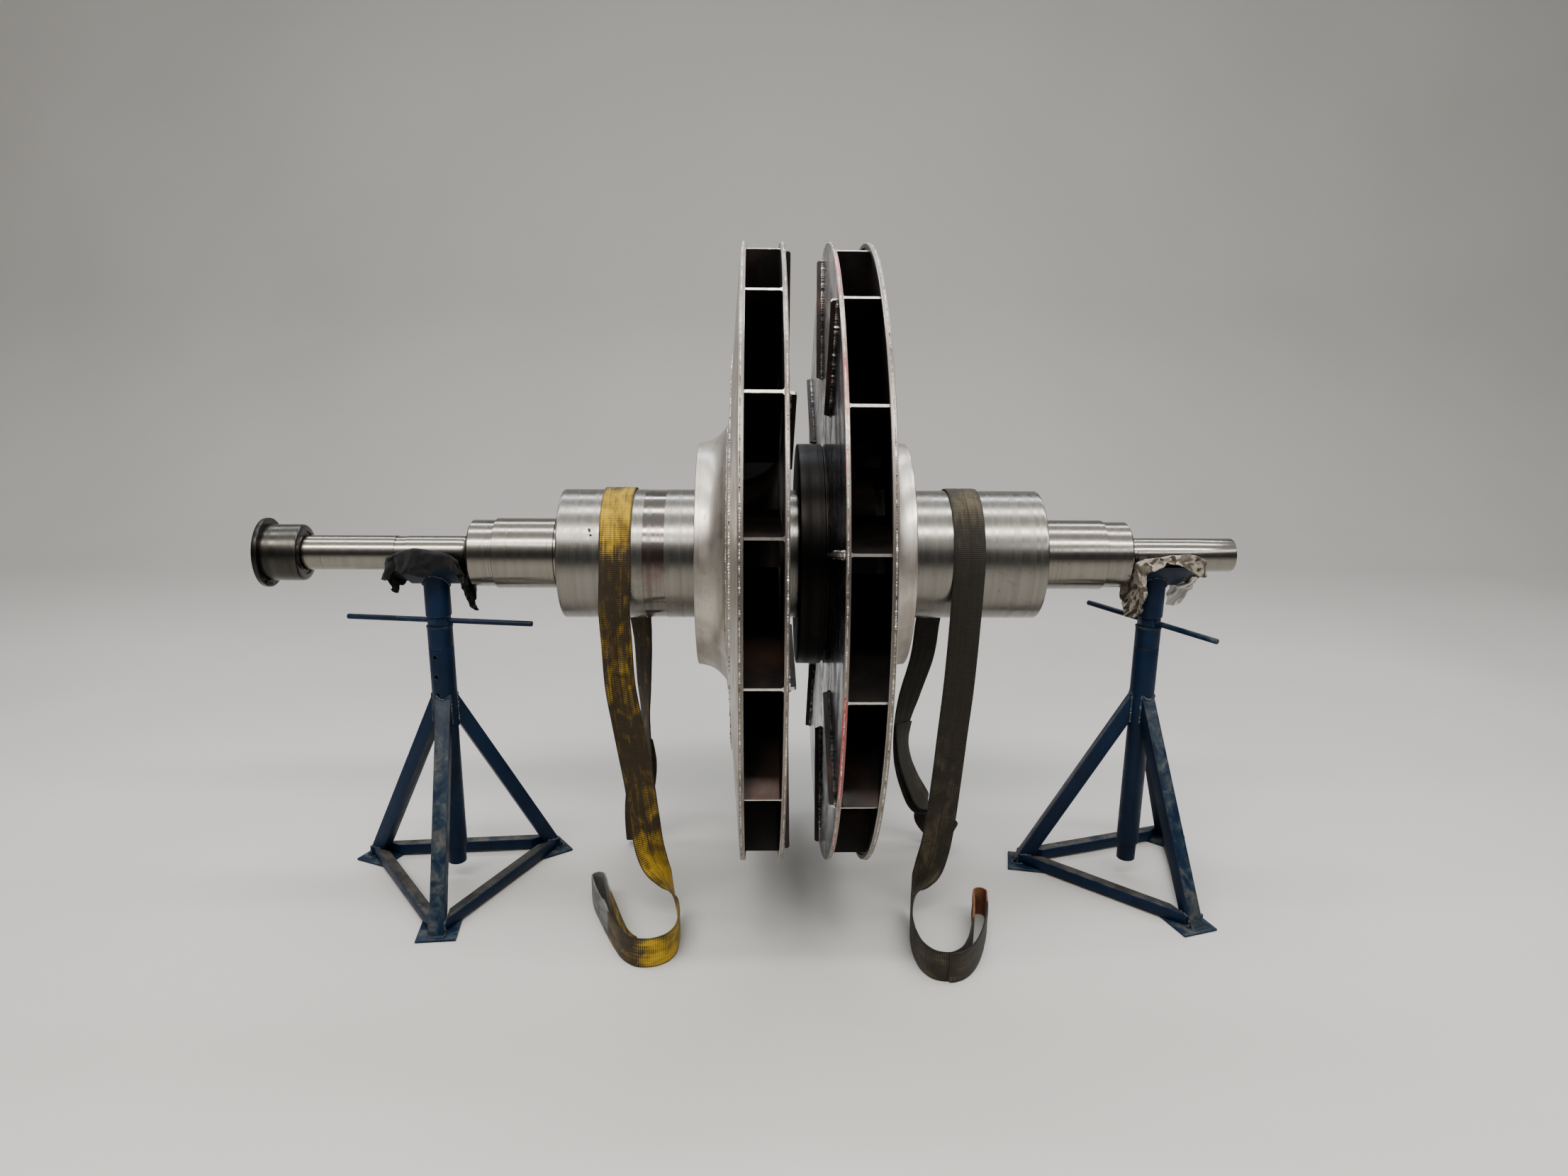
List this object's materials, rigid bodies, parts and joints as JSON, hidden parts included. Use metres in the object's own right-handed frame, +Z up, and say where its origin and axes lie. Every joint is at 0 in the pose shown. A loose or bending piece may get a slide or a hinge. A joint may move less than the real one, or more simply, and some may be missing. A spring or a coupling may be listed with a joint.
{
  "type": "centrifugal blower rotor on stands",
  "caption": "Centrifugal blower rotor: closed wheels back to back on a stepped shaft, resting in padded V-heads of tripod screw-jack stands, with webbing slings looped over it.",
  "frame": {"origin": "on the floor, at the bottom centre of the box around the rotor and its stands, under the shaft's axis", "axes": "+X along the shaft, away from the coupling hub; +Y towards the back; +Z up"},
  "size_m": [2.5544, 1.54, 1.696],
  "materials": {
    "ground_steel": "turned and ground steel, bright, with fine rings",
    "shroud_steel": "brushed steel with weld beads",
    "plate_steel": "dark mill scale with ground edges",
    "dark_steel": "blackened steel",
    "navy_paint": "worn dark blue paint over steel",
    "worn_plate": "steel plate with most of its paint gone",
    "black_cloth": "crumpled black cotton rag",
    "mottled_cloth": "crumpled mottled cotton rag",
    "yellow_webbing": "very dirty yellow polyester webbing",
    "olive_webbing": "dirty dark olive polyester webbing"
  },
  "bodies": {
    "stands": {"left_stand_leg_1": "navy_paint", "left_stand_leg_2": "navy_paint", "left_stand_leg_3": "navy_paint", "left_base_bar_1": "navy_paint", "left_base_bar_2": "navy_paint", "left_base_bar_3": "navy_paint", "left_foot_plate_1": "worn_plate", "left_foot_plate_2": "worn_plate", "left_foot_plate_3": "worn_plate", "left_stand_post": "navy_paint", "left_stand_collar": "navy_paint", "left_sling_on_floor": "yellow_webbing", "right_stand_leg_1": "navy_paint", "right_stand_leg_2": "navy_paint", "right_stand_leg_3": "navy_paint", "right_base_bar_1": "navy_paint", "right_base_bar_2": "navy_paint", "right_base_bar_3": "navy_paint", "right_foot_plate_1": "worn_plate", "right_foot_plate_2": "worn_plate", "right_foot_plate_3": "worn_plate", "right_stand_post": "navy_paint", "right_stand_collar": "navy_paint", "right_sling_on_floor": "olive_webbing"},
    "heads": {"left_v_head": "navy_paint", "right_v_head": "navy_paint", "left_rag": "black_cloth", "right_rag": "mottled_cloth", "left_sling_hanging": "yellow_webbing", "right_sling_hanging": "olive_webbing"},
    "left_jack_screw": {"left_screw": "navy_paint", "left_tommy_bar": "navy_paint"},
    "right_jack_screw": {"right_screw": "navy_paint", "right_tommy_bar": "navy_paint"},
    "rotor": {"shaft": "ground_steel", "coupling_hub": "dark_steel", "coupling_end_ring": "dark_steel", "hub_drum": "dark_steel", "left_bladed_back_plate": "plate_steel", "right_bladed_back_plate": "plate_steel", "left_shroud": "shroud_steel", "right_shroud": "shroud_steel"}
  },
  "joints": [
    {"name": "heads_lift", "type": "slide", "parent": "stands", "child": "heads", "axis": [0, 0, 1], "range_m": [0, 0.12]},
    {"name": "left_screw_turn", "type": "hinge", "parent": "heads", "child": "left_jack_screw", "pos_m": [-0.85089, 0, 0.746], "axis": [0, 0, 1], "continuous": true},
    {"name": "right_screw_turn", "type": "hinge", "parent": "heads", "child": "right_jack_screw", "pos_m": [1.02211, 0, 0.746], "axis": [0, 0, 1], "continuous": true},
    {"name": "rotor_turn", "type": "hinge", "parent": "heads", "child": "rotor", "pos_m": [0.09311, 0, 0.926], "axis": [1, 0, 0], "continuous": true}
  ],
  "couplings": [
    {"joint": "left_screw_turn", "follows": "heads_lift", "rad_per_m": 785.4},
    {"joint": "right_screw_turn", "follows": "heads_lift", "rad_per_m": 785.4}
  ]
}
